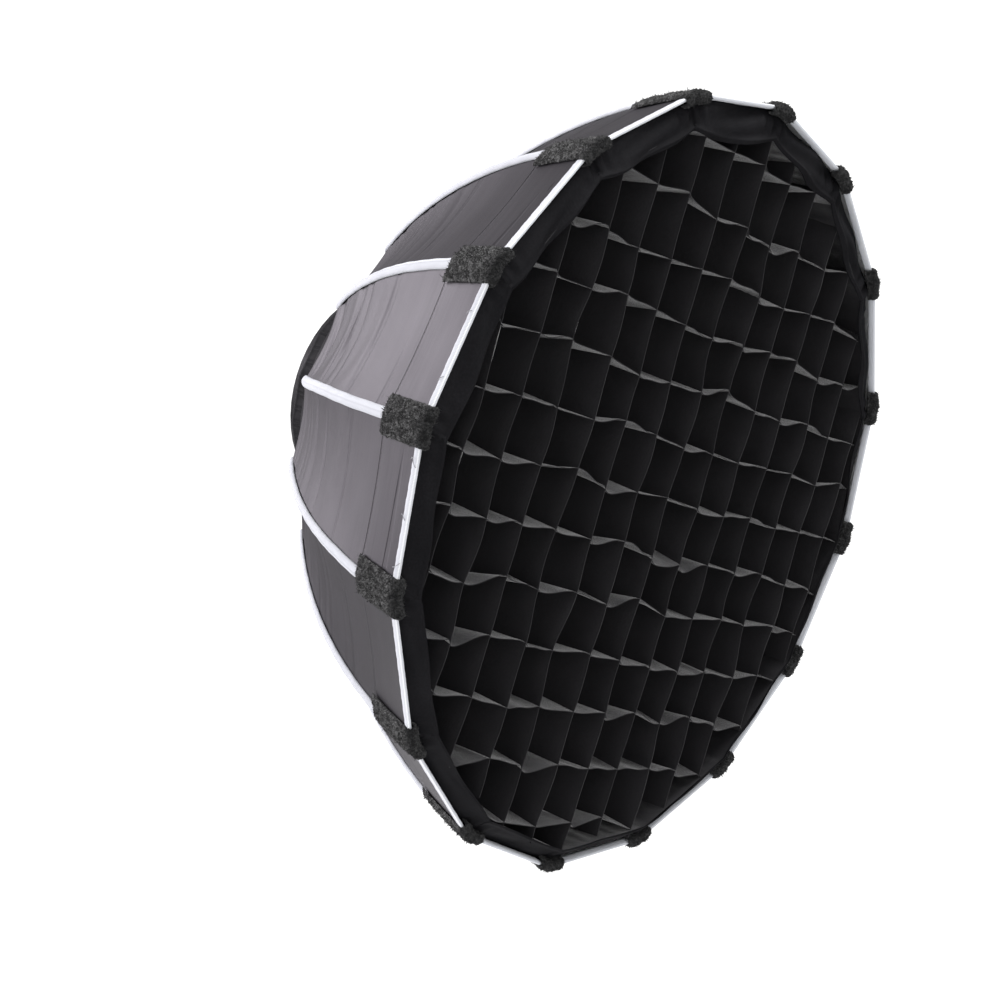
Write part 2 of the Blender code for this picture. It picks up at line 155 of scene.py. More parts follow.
def add_piece(name, vertices, faces, materials, face_material=None, uvs=None, normals=None):
    """A mesh object. uvs and normals are one per vertex, and face_material is one index per face."""
    mesh = bpy.data.meshes.new(name)
    mesh.from_pydata([tuple(v) for v in np.asarray(vertices, float)], [],
                     [tuple(map(int, face)) for face in faces])
    for material in materials:
        mesh.materials.append(material)
    if face_material is not None:
        mesh.polygons.foreach_set("material_index", np.asarray(face_material, np.int32))
    mesh.polygons.foreach_set("use_smooth", np.full(len(mesh.polygons), True))
    corners = np.zeros(len(mesh.loops), np.int32)
    mesh.loops.foreach_get("vertex_index", corners)
    if uvs is not None:
        layer = mesh.uv_layers.new(name="cloth")
        layer.data.foreach_set("uv", np.asarray(uvs, np.float32)[corners].ravel())
    mesh.update()
    if normals is not None:
        # a face that stands across the cloth is its cut edge, and shades flat
        own, sides = np.zeros(3 * len(mesh.polygons)), np.zeros(len(mesh.polygons), np.int32)
        mesh.polygons.foreach_get("normal", own)
        mesh.polygons.foreach_get("loop_total", sides)
        own, given = np.repeat(own.reshape(-1, 3), sides, axis=0), np.asarray(normals)[corners]
        across = (own * given).sum(1, keepdims=True) < 0.3
        mesh.normals_split_custom_set(np.where(across, own, given).tolist())
    piece = bpy.data.objects.new(name, mesh)
    bpy.context.scene.collection.objects.link(piece)
    return piece


def grid_faces(rows, columns, start=0, flip=False, closed=False):
    """Quads over a rows x columns block of vertices. closed joins the last column to the first."""
    faces = []
    for i in range(rows - 1):
        for j in range(columns if closed else columns - 1):
            k = (j + 1) % columns
            quad = (start + i * columns + j, start + i * columns + k,
                    start + (i + 1) * columns + k, start + (i + 1) * columns + j)
            faces.append(quad[::-1] if flip else quad)
    return faces


def slab_faces(rows, columns, start=0, flip=False):
    """Faces of a thin closed slab: a rows x columns block, a second one behind it, and the edge."""
    count = rows * columns
    faces = grid_faces(rows, columns, start, flip) + grid_faces(rows, columns, start + count, not flip)
    edge = list(range(columns)) + [(i + 1) * columns - 1 for i in range(1, rows)]
    edge += list(range(count - 2, count - columns - 1, -1)) + [i * columns for i in range(rows - 2, 0, -1)]
    for a, b in zip(edge, edge[1:] + edge[:1]):
        quad = (start + b, start + a, start + a + count, start + b + count)
        faces.append(quad[::-1] if flip else quad)
    return faces


def surface_normals(surface, a, b, step_a, step_b):
    """Unit normals of surface(a, b), by differences, so that neighbouring pieces shade as one cloth."""
    across = surface(a + step_a, b) - surface(a - step_a, b)
    along = surface(a, b + step_b) - surface(a, b - step_b)
    n = np.cross(across, along)
    return n / np.linalg.norm(n, axis=-1, keepdims=True)


def cloth_piece(name, outer, inner, s, t, steps, materials, uv):
    """A thin closed cloth between two surfaces outer(s, t) and inner(s, t), over the grid s x t."""
    S, T = np.meshgrid(s, t)
    rows, columns = S.shape
    front, back = outer(S, T).reshape(-1, 3), inner(S, T).reshape(-1, 3)
    n_front, n_back = (surface_normals(side, S, T, *steps).reshape(-1, 3) for side in (outer, inner))
    facing = np.sign(((front - back) * n_front).sum())
    faces = slab_faces(rows, columns, flip=facing < 0)
    kinds = np.zeros(len(faces), int)
    sheet_faces = (rows - 1) * (columns - 1)
    kinds[sheet_faces:2 * sheet_faces] = 1
    uvs = np.concatenate([uv(S, T).reshape(-1, 2)] * 2)
    return add_piece(name, np.concatenate([front, back]), faces, materials, kinds, uvs,
                     np.concatenate([n_front * facing, -n_back * facing]))


# ---------------------------------------------------------------- materials

class Shader:
    """A node material, with short calls for the nodes it is built from."""

    def __init__(self, name, slot, **values):
        self.material = bpy.data.materials.new(name)
        self.material.use_nodes = True
        self.slot = slot
        self.tree = self.material.node_tree
        self.tree.nodes.clear()
        self.surface = self.add("ShaderNodeBsdfPrincipled")
        self.set(self.surface, values)
        output = self.add("ShaderNodeOutputMaterial")
        self.tree.links.new(self.surface.outputs[0], output.inputs["Surface"])

    def set(self, node, values):
        for socket, value in values.items():
            if isinstance(value, bpy.types.NodeSocket):
                self.tree.links.new(value, node.inputs[socket])
            elif isinstance(value, tuple) and len(value) == 3 and node.inputs[socket].type == "RGBA":
                node.inputs[socket].default_value = (*value, 1)
            else:
                node.inputs[socket].default_value = value

    def add(self, kind, properties=None, **values):
        node = self.tree.nodes.new(kind)
        for key, value in (properties or {}).items():
            setattr(node, key, value)
        self.set(node, values)
        return node

    def cloth_uv(self, scale=(1, 1, 1)):
        uv = self.add("ShaderNodeUVMap", {"uv_map": "cloth"}).outputs[0]
        return self.add("ShaderNodeMapping", Vector=uv, Scale=scale).outputs[0]

    def object_space(self, scale=(1, 1, 1)):
        point = self.add("ShaderNodeTexCoord").outputs["Object"]
        return self.add("ShaderNodeMapping", Vector=point, Scale=scale).outputs[0]

    def cloth_axes(self):
        """How far a place is across the cloth and along it, in metres."""
        uv = self.add("ShaderNodeUVMap", {"uv_map": "cloth"}).outputs[0]
        parts = self.add("ShaderNodeSeparateXYZ", Vector=uv).outputs
        return parts[0], parts[1]

    def band(self, value, centre, half_width):
        """1 where value is at centre, falling to 0 half_width away."""
        off = self.maths("ABSOLUTE", self.maths("SUBTRACT", value, centre))
        return self.span(off, 1.0, 0.0, end=half_width)

    def dashes(self, value, period):
        """1 on a stitch and 0 on the gap after it."""
        return self.ramp(self.maths("FRACT", self.maths("DIVIDE", value, period)),
                         [(0.0, 0.0), (0.12, 1.0), (0.72, 1.0), (0.84, 0.0)])

    def noise(self, vector, scale, detail=3.0, roughness=0.5, distortion=0.0):
        return self.add("ShaderNodeTexNoise", Vector=vector, Scale=scale, Detail=detail,
                        Roughness=roughness, Distortion=distortion).outputs["Fac"]

    def threads(self, period, direction):
        """Height of parallel threads, 0 to 1, one each period metres along the cloth's X or Y."""
        # a wave texture repeats every 2 pi / 20 units at scale 1
        return self.add("ShaderNodeTexWave", {"bands_direction": direction}, Vector=self.cloth_uv(),
                        Scale=pi / 10 / period).outputs["Fac"]

    def maths(self, operation, *values, clamp=False):
        node = self.add("ShaderNodeMath", {"operation": operation, "use_clamp": clamp})
        self.set(node, dict(enumerate(values)))
        return node.outputs[0]

    def ramp(self, value, stops):
        node = self.add("ShaderNodeValToRGB", Fac=value)
        elements = node.color_ramp.elements
        while len(elements) < len(stops):
            elements.new(0.5)
        for element, (position, colour) in zip(elements, stops):
            element.position = position
            element.color = (*colour, 1) if isinstance(colour, tuple) else (colour, colour, colour, 1)
        return node.outputs["Color"]

    def span(self, value, low, high, start=0.0, end=1.0):
        """value from start..end to low..high, and no further than either."""
        node = self.add("ShaderNodeMapRange")
        self.set(node, {0: value, 1: start, 2: end, 3: low, 4: high})
        return node.outputs[0]

    def mix(self, factor, a, b):
        node = self.add("ShaderNodeMix", {"data_type": "RGBA"})
        self.set(node, {0: factor, 6: a, 7: b})
        return node.outputs[2]

    def bump(self, height, distance, normal=None):
        below = {} if normal is None else {"Normal": normal}
        return self.add("ShaderNodeBump", Height=height, Distance=distance, **below).outputs[0]

    def weave(self, period):
        """Height of a plain weave, 0 to 1, with one thread each period metres."""
        return self.maths("MULTIPLY", self.threads(period, "X"), self.threads(period, "Y"))

    def finish(self, **sockets):
        self.set(self.surface, {key.replace("_", " "): value for key, value in sockets.items()})
        return self


def nylon_material():
    """Black nylon: fine weave, soft sheen, creases pressed from seam to seam, and the stitched hem, with
    painted shade in the creases and along the hem.
    """
    m = Shader("black_nylon", "shell_nylon",
               **{"Sheen Weight": 0.03, "Sheen Roughness": 0.4, "Sheen Tint": (0.90, 0.87, 0.94),
                  "Specular IOR Level": 0.42, "Specular Tint": (0.97, 0.94, 1.0)})
    around, along = m.cloth_axes()
    streaks = m.noise(m.cloth_uv((4, 150, 1)), 1.0, detail=2.5, roughness=0.55, distortion=0.15)
    lines = m.ramp(m.noise(m.cloth_uv((3.2, 62, 1)), 1.0, detail=1.0),
                   [(0.315, 0.0), (0.345, 1.0), (1.0, 1.0)])
    drift = m.noise(m.cloth_uv((14, 22, 1)), 1.0, detail=3.0)
    grain = m.noise(m.cloth_uv((1100, 1100, 1)), 1.0, detail=2.0)
    hem_line = HEM_ANGLE * SHELL_BEND
    hem = m.maths("MULTIPLY", m.band(along, hem_line, 0.0015), 1.7, clamp=True)
    stitches = m.maths("MULTIPLY", m.band(along, hem_line, 0.0008), m.dashes(around, 0.0032))
    colour = m.mix(m.span(drift, 0.0, 1.0), (0.016, 0.0145, 0.0165), (0.027, 0.025, 0.0285))
    colour = m.mix(m.span(grain, -0.30, 0.45), colour, (0.045, 0.042, 0.047))
    # painted shade in the valleys of the streaks and of the crease lines, which the bumps below press in
    colour = m.mix(m.span(streaks, 0.45, -0.15), colour, (0.012, 0.011, 0.013))
    colour = m.mix(m.span(lines, 0.55, 0.0), colour, (0.007, 0.006, 0.008))
    # painted shade along the hem's groove
    colour = m.mix(m.maths("MULTIPLY", hem, 0.85), colour, (0.004, 0.004, 0.005))
    normal = m.bump(m.maths("ADD", m.maths("MULTIPLY", streaks, 0.35), drift), 0.0005)
    normal = m.bump(lines, 0.0003, normal)
    normal = m.bump(m.maths("SUBTRACT", stitches, m.maths("MULTIPLY", hem, 1.6)), 0.00025, normal)
    normal = m.bump(m.weave(0.0006), 0.00002, normal)
    return m.finish(Base_Color=colour, Roughness=m.span(drift, 0.42, 0.56), Normal=normal)


def matte_cloth(name, slot, dark, light, sheen=0.0, shine=0.08):
    """Plain black cloth that barely shines, as in the grid, border and collar."""
    m = Shader(name, slot, **{"Sheen Weight": sheen, "Sheen Roughness": 0.3, "Specular IOR Level": shine})
    drift = m.noise(m.cloth_uv((26, 26, 1)), 1.0, detail=4.0)
    grain = m.noise(m.cloth_uv((700, 700, 1)), 1.0, detail=2.0)
    colour = m.mix(m.span(m.maths("MULTIPLY", drift, grain), 0.0, 2.0), dark, light)
    normal = m.bump(drift, 0.0015)
    normal = m.bump(m.weave(0.0007), 0.0001, normal)
    return m.finish(Base_Color=colour, Roughness=m.span(grain, 0.62, 0.80), Normal=normal)


def tape_material():
    """White grosgrain: cross ribs, a grey drift, painted shade between the ribs and down a groove in the
    middle, and a painted highlight along the fold over the rim.
    """
    m = Shader("white_grosgrain", "white_tape", **{"Sheen Weight": 0.2, "Specular IOR Level": 0.35})
    ribs = m.threads(0.0009, "Y")
    drift = m.noise(m.cloth_uv((60, 18, 1)), 1.0, detail=4.0)
    colour = m.mix(m.span(drift, -0.2, 0.9), (0.55, 0.565, 0.60), (0.43, 0.44, 0.48))
    around, _ = m.cloth_axes()
    # painted highlight along the rim tape's fold over the rim
    colour = m.mix(m.band(around, RIM_FOLD_UV, 0.0014), colour, (0.88, 0.89, 0.92))
    # painted shade down the seam tape's middle, as in a groove; it also darkens the rim tape's outer edge
    groove = m.band(around, 0.0, 0.0009)
    # painted shade between the ribs
    colour = m.mix(m.span(ribs, 0.10, 0.0), colour, (0.40, 0.41, 0.45))
    colour = m.mix(m.maths("MULTIPLY", groove, 0.45), colour, (0.30, 0.31, 0.34))
    normal = m.bump(ribs, 0.00015)
    normal = m.bump(drift, 0.0010, normal)
    return m.finish(Base_Color=colour, Roughness=m.span(drift, 0.60, 0.75), Normal=normal)


def pile_material():
    """Loop pile: dark grey loops with painted highlights on some of them, and painted shade where it wraps
    over the rim to face the front.
    """
    m = Shader("loop_pile", "loop_pile",
               **{"Sheen Weight": 0.05, "Sheen Roughness": 0.6, "Specular IOR Level": 0.1})
    loops = m.noise(m.object_space(), 900.0, detail=3.0, roughness=0.65, distortion=0.6)
    tufts = m.noise(m.object_space(), 260.0, detail=2.0)
    loops_and_highlights = m.maths("MULTIPLY", loops, m.span(tufts, 0.5, 1.5))
    # painted highlights where the loops stand highest
    colour = m.ramp(loops_and_highlights, [(0.36, 0.010), (0.50, 0.042), (0.62, 0.15)])
    depth = m.add("ShaderNodeSeparateXYZ", Vector=m.object_space()).outputs["Y"]
    # painted shade over the front wrap, darkest at the front
    front_wrap_shade = m.span(depth, 0.75, 0.0, RIM_Y - 0.001, RIM_Y + 0.006)
    colour = m.mix(front_wrap_shade, colour, (0.006, 0.006, 0.007))
    normal = m.bump(loops_and_highlights, 0.0022)
    return m.finish(Base_Color=colour, Roughness=0.95, Normal=normal)


def silver_material():
    """Silver lining: foil pressed into small bumps."""
    m = Shader("silver_lining", "silver_lining", **{"Metallic": 0.85})
    foil = m.add("ShaderNodeTexVoronoi", {"feature": "SMOOTH_F1"}, Vector=m.cloth_uv(), Scale=420.0)
    cells = foil.outputs[0]
    drift = m.noise(m.cloth_uv((30, 30, 1)), 1.0)
    colour = m.mix(m.span(drift, 0.0, 1.0), (0.78, 0.79, 0.80), (0.66, 0.67, 0.68))
    normal = m.bump(drift, 0.002, m.bump(cells, 0.0006))
    return m.finish(Base_Color=colour, Roughness=m.span(cells, 0.26, 0.42), Normal=normal)


def diffuser_material():
    """White diffusion cloth, finely woven, a little creased."""
    m = Shader("white_diffuser", "diffuser_cloth", **{"Sheen Weight": 0.15, "Specular IOR Level": 0.3})
    drift = m.noise(m.cloth_uv((18, 18, 1)), 1.0, detail=4.0)
    colour = m.mix(m.span(drift, 0.0, 1.0), (0.80, 0.80, 0.79), (0.71, 0.715, 0.72))
    normal = m.bump(m.weave(0.0008), 0.00012, m.bump(drift, 0.004))
    return m.finish(Base_Color=colour, Roughness=m.span(drift, 0.70, 0.85), Normal=normal)


def metal_material(name, slot, colour, worn, roughness, uneven=0.30, metallic=1.0):
    """Metal with fine tool marks, and a paler wear on its edges."""
    m = Shader(name, slot, **{"Metallic": metallic})
    marks = m.noise(m.object_space((1, 40, 1)), 60.0, detail=5.0, roughness=0.7)
    blotch = m.noise(m.object_space(), 45.0, detail=3.0)
    edge = m.add("ShaderNodeNewGeometry").outputs["Pointiness"]
    wear = m.maths("MULTIPLY", m.ramp(edge, [(0.53, 0.0), (0.60, 1.0)]),
                   m.ramp(blotch, [(0.40, 0.0), (0.65, 0.8)]))
    rubbed = m.maths("MULTIPLY", marks, blotch)
    return m.finish(Base_Color=m.mix(wear, colour, worn),
                    Roughness=m.span(rubbed, roughness - 0.05, roughness + uneven),
                    Normal=m.bump(marks, 0.00006))


def plastic_material():
    """Moulded glass-filled nylon: black, with a fine spark texture."""
    m = Shader("black_plastic", "knuckle_plastic", **{"Specular IOR Level": 0.5})
    spark = m.noise(m.object_space(), 1500.0, detail=2.0)
    drift = m.noise(m.object_space(), 120.0, detail=3.0)
    return m.finish(Base_Color=m.mix(drift, (0.014, 0.014, 0.015), (0.026, 0.026, 0.028)),
                    Roughness=m.span(drift, 0.42, 0.60), Normal=m.bump(spark, 0.00012))


def thread_material():
    """Sewing thread, twisted."""
    m = Shader("sewing_thread", "collar_cloth", **{"Sheen Weight": 0.3})
    twist = m.noise(m.object_space(), 2400.0, detail=1.0)
    return m.finish(Base_Color=m.mix(twist, (0.10, 0.10, 0.11), (0.30, 0.30, 0.32)), Roughness=0.6,
                    Normal=m.bump(twist, 0.0001))


NYLON, TAPE, PILE, SILVER = nylon_material(), tape_material(), pile_material(), silver_material()
COLLAR = matte_cloth("collar_cloth", "collar_cloth", (0.008, 0.008, 0.009), (0.022, 0.022, 0.024))
# the border is the grid's own cloth in a darker copy: painted shade
BORDER = matte_cloth("grid_cloth_shaded", "grid_cloth", (0.0040, 0.0040, 0.0050), (0.0125, 0.0120, 0.0140))
GRID = matte_cloth("grid_cloth", "grid_cloth", (0.0110, 0.0105, 0.0120), (0.0215, 0.0205, 0.0230),
                   sheen=0.55, shine=0.15)
DIFFUSER, THREAD, PLASTIC = diffuser_material(), thread_material(), plastic_material()
STEEL = metal_material("spring_steel", "rod_steel", (0.42, 0.43, 0.45), (0.62, 0.62, 0.63), 0.28)
WIRE = metal_material("steel_wire", "steel_wire", (0.50, 0.50, 0.51), (0.66, 0.66, 0.66), 0.24)
RING = metal_material("black_anodised", "ring_metal", (0.016, 0.016, 0.018), (0.070, 0.070, 0.074), 0.42,
                      uneven=0.10, metallic=0.35)


def place(piece, body, replaced=()):
    """Rides a piece on its body, and hides the CAD parts that it stands in for."""
    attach(piece, body)
    if replaced:
        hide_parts(*replaced)
    return piece


def rib(k):
    return f"rib_{k % SIDES + 1:02d}"


# ---------------------------------------------------------------- shell

def panel_creases():
    """Creases across each panel, more of them near the rear: arc angle at each end, depth, width, lean."""
    creases = []
    for _ in range(SIDES):
        rows = []
        for _ in range(CREASES_PER_PANEL):
            back = RNG.beta(2.2, 1.3)
            theta = TIP_ANGLE + 0.12 + back * (PANEL_REAR_ANGLE - TIP_ANGLE - 0.13)
            rows.append((theta + RNG.normal(0, 0.005), theta + RNG.normal(0, 0.005),
                         RNG.uniform(0.0003, 0.0012), RNG.uniform(0.0040, 0.0085), RNG.uniform(-1, 1)))
        creases.append(rows)
    return creases


CREASES = panel_creases()
SAG = RNG.uniform(0.0026, 0.0042, SIDES)
RIPPLE_PHASE = RNG.uniform(0, 2 * pi, (SIDES, 3))
CREASED = RNG.uniform(0.35, 1.25, SIDES)


def collar_lift(s, theta):
    """The collar lies under the panels, proud over each rod's pocket, and its rear edge rounds the ring."""
    u = s - np.floor(s)
    beside_rod = np.minimum(u, 1 - u) * chord(shell_profile(theta)[0])
    pocket = 0.0007 * np.exp(-(beside_rod / 0.0045) ** 2)
    rounded = 0.0025 * 4 * u * (1 - u) * np.exp(-((COLLAR_REAR_ANGLE - theta) / 0.07) ** 2)
    return pocket + rounded - COLLAR_UNDER


def panel_lift(s, theta):
    """How far the cloth lies off its flat panel: drawn in between rods, creased, thicker at the hem."""
    panel = np.floor(s).astype(int) % SIDES
    u = s - np.floor(s)
    tension = 4 * u * (1 - u)
    along = np.clip((theta - TIP_ANGLE) / (COLLAR_REAR_ANGLE - TIP_ANGLE), 0, 1)
    lift = -SAG[panel] * tension * np.sin(pi * np.clip(along * 1.05, 0, 1)) ** 0.8
    for number in range(SIDES):
        here = panel == number
        if not here.any():
            continue
        uh, th = u[here], theta[here]
        extra = np.zeros(uh.shape)
        for left, right, depth, width, lean in CREASES[number]:
            line = left + (right - left) * uh + 0.003 * np.sin(pi * uh * 2 + lean * 3)
            fade = tension[here] ** 0.35 * (1 + 0.5 * lean * (uh - 0.5))
            extra -= depth * fade * np.exp(-((th - line) / width) ** 2)
        a, b, c = RIPPLE_PHASE[number]
        rear = np.clip((th - HEM_ANGLE) / 0.25, 0, 1)
        extra += 0.00045 * rear * np.sin(95 * th + a + 1.2 * np.sin(5 * uh + c)) * tension[here]
        extra += 0.0003 * np.sin(48 * th + b) * tension[here]
        lift[here] += extra * CREASED[number]
    hem = 0.0005 / (1 + np.exp((theta - HEM_ANGLE) / 0.0012))
    stitch = 0.0006 * np.exp(-((theta - HEM_ANGLE) / 0.0022) ** 2)
    rear_hem = 0.0006 / (1 + np.exp((PANEL_REAR_ANGLE - 0.022 - theta) / 0.001))
    rear_hem = rear_hem * (theta <= PANEL_REAR_ANGLE + 1e-9)
    collar = np.where(theta > PANEL_REAR_ANGLE + 1e-9, collar_lift(s, theta), 0.0)
    return lift + hem - stitch + rear_hem + collar - 0.0004


def shell_outer(s, theta):
    return shell_points(s, theta, panel_lift(s, theta))


def shell_inner(s, theta):
    return shell_points(s, theta, panel_lift(s, theta) - FABRIC)


def shell_uv(s, theta):
    r, _ = shell_profile(theta)
    panel = np.floor(s)
    # each panel starts at its own place, so that no two look the same
    return np.stack([(s - panel - 0.5) * chord(r) + 0.37 * panel, theta * SHELL_BEND], -1)


def sector_columns(k):
    """Places round the box from one panel's middle to the next one's, close together at the rod."""
    half = np.concatenate([np.linspace(0.5, 0.10, 9), [0.055, 0.02]])
    return np.concatenate([k - half, [k], k + half[::-1]])


def build_band(k, number, rear, front, shader):
    """One sector's band of cloth, from an arc angle to one nearer the rim."""
    if shader is COLLAR:
        name, replaced = "rear_collar", ["rear_collar"]
    else:
        name, replaced = "shell", [f"shell_panel_{k + 1:02d}"] if number == 1 else []
    rows = max(3, int((rear - front) * SHELL_BEND / SHELL_STEP) + 1)
    piece = cloth_piece(f"{name}_{number}_{k + 1:02d}", shell_outer, shell_inner, sector_columns(k),
                        np.linspace(front, rear, rows), (1e-4, 1e-4), [shader.material, SILVER.material],
                        shell_uv)
    place(piece, rib(k), replaced)
    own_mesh(piece)
    return piece


def shell_bands():
    """(rear angle, front angle, cloth) of each band, short enough to narrow evenly as the box folds."""
    panel = np.linspace(PANEL_REAR_ANGLE, HEM_ANGLE, PANEL_BANDS + 1)
    bands = [(a, b, NYLON) for a, b in zip(panel, panel[1:])] + [(HEM_ANGLE, TIP_ANGLE, NYLON)]
    collar = np.linspace(COLLAR_REAR_ANGLE, PANEL_REAR_ANGLE + 1e-5, COLLAR_BANDS + 1)
    return bands, [(a, b, COLLAR) for a, b in zip(collar, collar[1:])]


def cuff_point(s, t, lift):
    """Gathered cuff round the speed ring, from its rear edge to the collar's: t goes from 0 to 1."""
    r_end, y_end = shell_profile(COLLAR_REAR_ANGLE, -0.0018)
    r = np.interp(t, [0, 0.10, 0.75, 1], [0.0900, 0.0912, 0.0914, r_end])
    y = np.interp(t, [0, 0.75, 1], [-0.0122, -0.0242, y_end])
    loose = np.sin(pi * np.clip(t, 0, 1) * 0.9)
    puckers = 0.00045 * np.sin(2 * pi * s * 7 + 1.5 * np.sin(2 * pi * s * 3)) * loose
    joined = np.clip((t - 0.3) / 0.7, 0, 1) * (collar_lift(s, COLLAR_REAR_ANGLE) + COLLAR_UNDER)
    return ring_points(s, r + puckers + joined + lift, y)


def rear_cuff(k):
    piece = cloth_piece(f"rear_cuff_{k + 1:02d}", lambda s, t: cuff_point(s, t, 0.0),
                        lambda s, t: cuff_point(s, t, -0.0006), np.linspace(k - 0.5, k + 0.5, 61),
                        np.linspace(0, 1, 14), (1e-4, 1e-3), [COLLAR.material, COLLAR.material],
                        lambda s, t: np.stack([s * chord(0.09), t * CUFF_DEPTH], -1))
    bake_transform(piece)


panel_bands, collar_bands = shell_bands()
for k in range(SIDES):
    rear_cuff(k)
    for bands in (panel_bands, collar_bands):
        for number, (rear, front, shader) in enumerate(bands, 1):
            build_band(k, number, rear, front, shader)


# ---------------------------------------------------------------- tapes, patches and threads

def seam_tape(k):
    """White tape over one seam, from the panels' rear edge to under the corner patch."""
    theta = np.linspace(PANEL_REAR_ANGLE + 0.004, HEM_ANGLE - 0.006, 90)
    offsets = np.array([-1, -0.96, -0.8, -0.45, -0.12, 0, 0.12, 0.45, 0.8, 0.96, 1]) * TAPE_WIDTH / 2
    heights = np.array([0.05, 0.32, 0.62, 0.88, 1.02, 1.0, 1.02, 0.88, 0.62, 0.32, 0.05]) * TAPE_HEIGHT
    wander = 0.00022 * np.sin(theta * 23 + k * 2.1) + 0.00010 * np.sin(theta * 80 + k)
    T, O = np.meshgrid(theta, offsets, indexing="ij")
    H = heights[None, :] + 0.00012 * np.sin(T * 160 + k)
    r, _ = shell_profile(T)
    S = k + (O + wander[:, None]) / chord(r)
    top, under = (shell_points(S, T, lift).reshape(-1, 3) for lift in (H, H * 0 - 0.0006))
    uv = np.stack([O, T * SHELL_BEND], -1).reshape(-1, 2)
    piece = add_piece(f"seam_tape_{k + 1:02d}", np.concatenate([top, under]), slab_faces(*T.shape),
                      [TAPE.material], uvs=np.concatenate([uv, uv]))
    return place(piece, rib(k))


def rim_section(gap, lift):
    """Corner radius and y, gap metres back from the rim on the arc and lift out from the fabric's face."""
    return shell_profile(TIP_ANGLE + gap / SHELL_BEND, lift)


def rim_tape_point(s, t):
    """t goes once round the tape's section: from its outer edge over the rim to the inner edge, and back
    underneath. Each knot is a gap behind the rim and a height over the fabric, in metres."""
    w = RIM_TAPE_WIDTH
    gaps = np.array([w, w * 0.97, w * 0.5, w * 0.12, -0.0003, -0.0009, -0.0009, -0.0003,
                     w * 0.12, w * 0.5, w * 0.9, w * 0.95, w * 0.6, w * 0.3, w * 0.9, w])
    lifts = np.array([-0.2, 0.55, 0.7, 0.75, 0.5, -0.1, -0.9, -1.6,
                      -1.9, -1.95, -2.0, -1.3, -0.9, -0.8, -0.4, -0.2]) * 0.001
    knots = np.linspace(0, 1, len(gaps))
    G, L = np.interp(t % 1, knots, gaps), np.interp(t % 1, knots, lifts)
    tug = 0.00012 * np.sin(s * 61) + 0.00008 * np.sin(s * 150)
    return ring_points(s, *rim_section(G + tug * (G > 0.001), L + 0.3 * tug))


def rim_tape(k):
    """White tape folded over the rim, half of each neighbouring panel's, with the rod in the middle."""
    half = np.linspace(0.5, 0.0, 28)
    s = np.concatenate([k - half, (k + half[::-1])[1:]])
    S, T = np.meshgrid(s, np.arange(15) / 15, indexing="ij")
    points = rim_tape_point(S, T)
    normals = -surface_normals(rim_tape_point, S, T, 1e-4, 2e-2)
    rows, columns = S.shape
    faces = grid_faces(rows, columns, closed=True)
    faces += [tuple(range(columns))[::-1], tuple(range((rows - 1) * columns, rows * columns))]
    uv = np.stack([T * 0.02, S * chord(RIM_RADIUS)], -1).reshape(-1, 2)
    piece = add_piece(f"rim_tape_{k + 1:02d}", points.reshape(-1, 3), faces, [TAPE.material], uvs=uv,
                      normals=normals.reshape(-1, 3))
    place(piece, rib(k))
    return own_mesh(piece)


def patch_path():
    """The corner patch from its rear edge over the rim to the border: (gap behind the rim, lift) pairs."""
    outside = [(gap, 0.0010) for gap in np.linspace(HEM, 0.0005, 46)]
    turn = [(-0.0024 * sin(a), -0.0014 + 0.0024 * cos(a)) for a in np.linspace(0.3, pi, 12)]
    inside = [(gap, -0.0038 - 0.1 * gap) for gap in (0.0008, 0.0018, 0.0028, 0.0038)]
    return np.array(outside + turn + inside)


def corner_patch(k):
    """Loop pile over a rod's front pocket, wrapped over the rim."""
    path = patch_path()
    along = np.gradient(path, axis=0)
    out = np.stack([-along[:, 1], along[:, 0]], -1)
    out = -out / np.linalg.norm(out, axis=1, keepdims=True)
    offsets = np.linspace(-1, 1, 34) * PATCH_WIDTH / 2
    rng = np.random.default_rng(1000 + k)
    rows, columns = len(path), len(offsets)
    row, O = np.meshgrid(np.arange(rows), offsets, indexing="ij")
    edge = np.clip((PATCH_WIDTH / 2 - np.abs(O)) / 0.0022, 0, 1) * np.clip(row / 2.0, 0, 1)
    lumps = 0.0004 * np.sin(O * 420 + k) * np.sin(row * 0.31 + 2 * k)
    pile = 0.0018 * edge ** 0.5 + lumps * edge + rng.normal(0, 0.00034, row.shape) * (0.35 + edge)
    O = O + rng.normal(0, 0.00025, row.shape) * (np.abs(offsets) > 0.0130)

    def patch_point(height):
        gap, lift = (path[:, i][:, None] + out[:, i][:, None] * height for i in (0, 1))
        r, y = rim_section(gap, lift)
        r_path, _ = rim_section(path[:, 0], np.maximum(path[:, 1], -0.004))
        return ring_points(k + O / chord(r_path)[:, None], r, y)

    top, under = patch_point(pile), patch_point(np.full(row.shape, -0.0005))
    vertices = [top.reshape(-1, 3), under.reshape(-1, 3)]
    faces = slab_faces(rows, columns)
    # loose ends of the pile, leaning every way, which make its outline fuzzy
    picks = rng.integers(1, rows - 4, 900), rng.integers(1, columns - 1, 900)
    roots = top[picks]
    normal = roots - under[picks]
    normal /= np.linalg.norm(normal, axis=1, keepdims=True)
    lean = rng.normal(0, 0.6, roots.shape)
    tips = roots + (normal + lean) * rng.uniform(0.0006, 0.0015, (len(roots), 1))
    spread = rng.normal(0, 1, (3, *roots.shape)) * 0.00016
    start = 2 * rows * columns
    vertices.append(np.stack([*(roots - 0.0002 * normal + spread), tips], 1).reshape(-1, 3))
    for tuft in range(len(roots)):
        a = start + 4 * tuft
        faces += [(a, a + 1, a + 3), (a + 1, a + 2, a + 3), (a + 2, a, a + 3)]
    piece = add_piece(f"corner_patch_{k + 1:02d}", np.concatenate(vertices), faces, [PILE.material])
    return place(piece, rib(k))


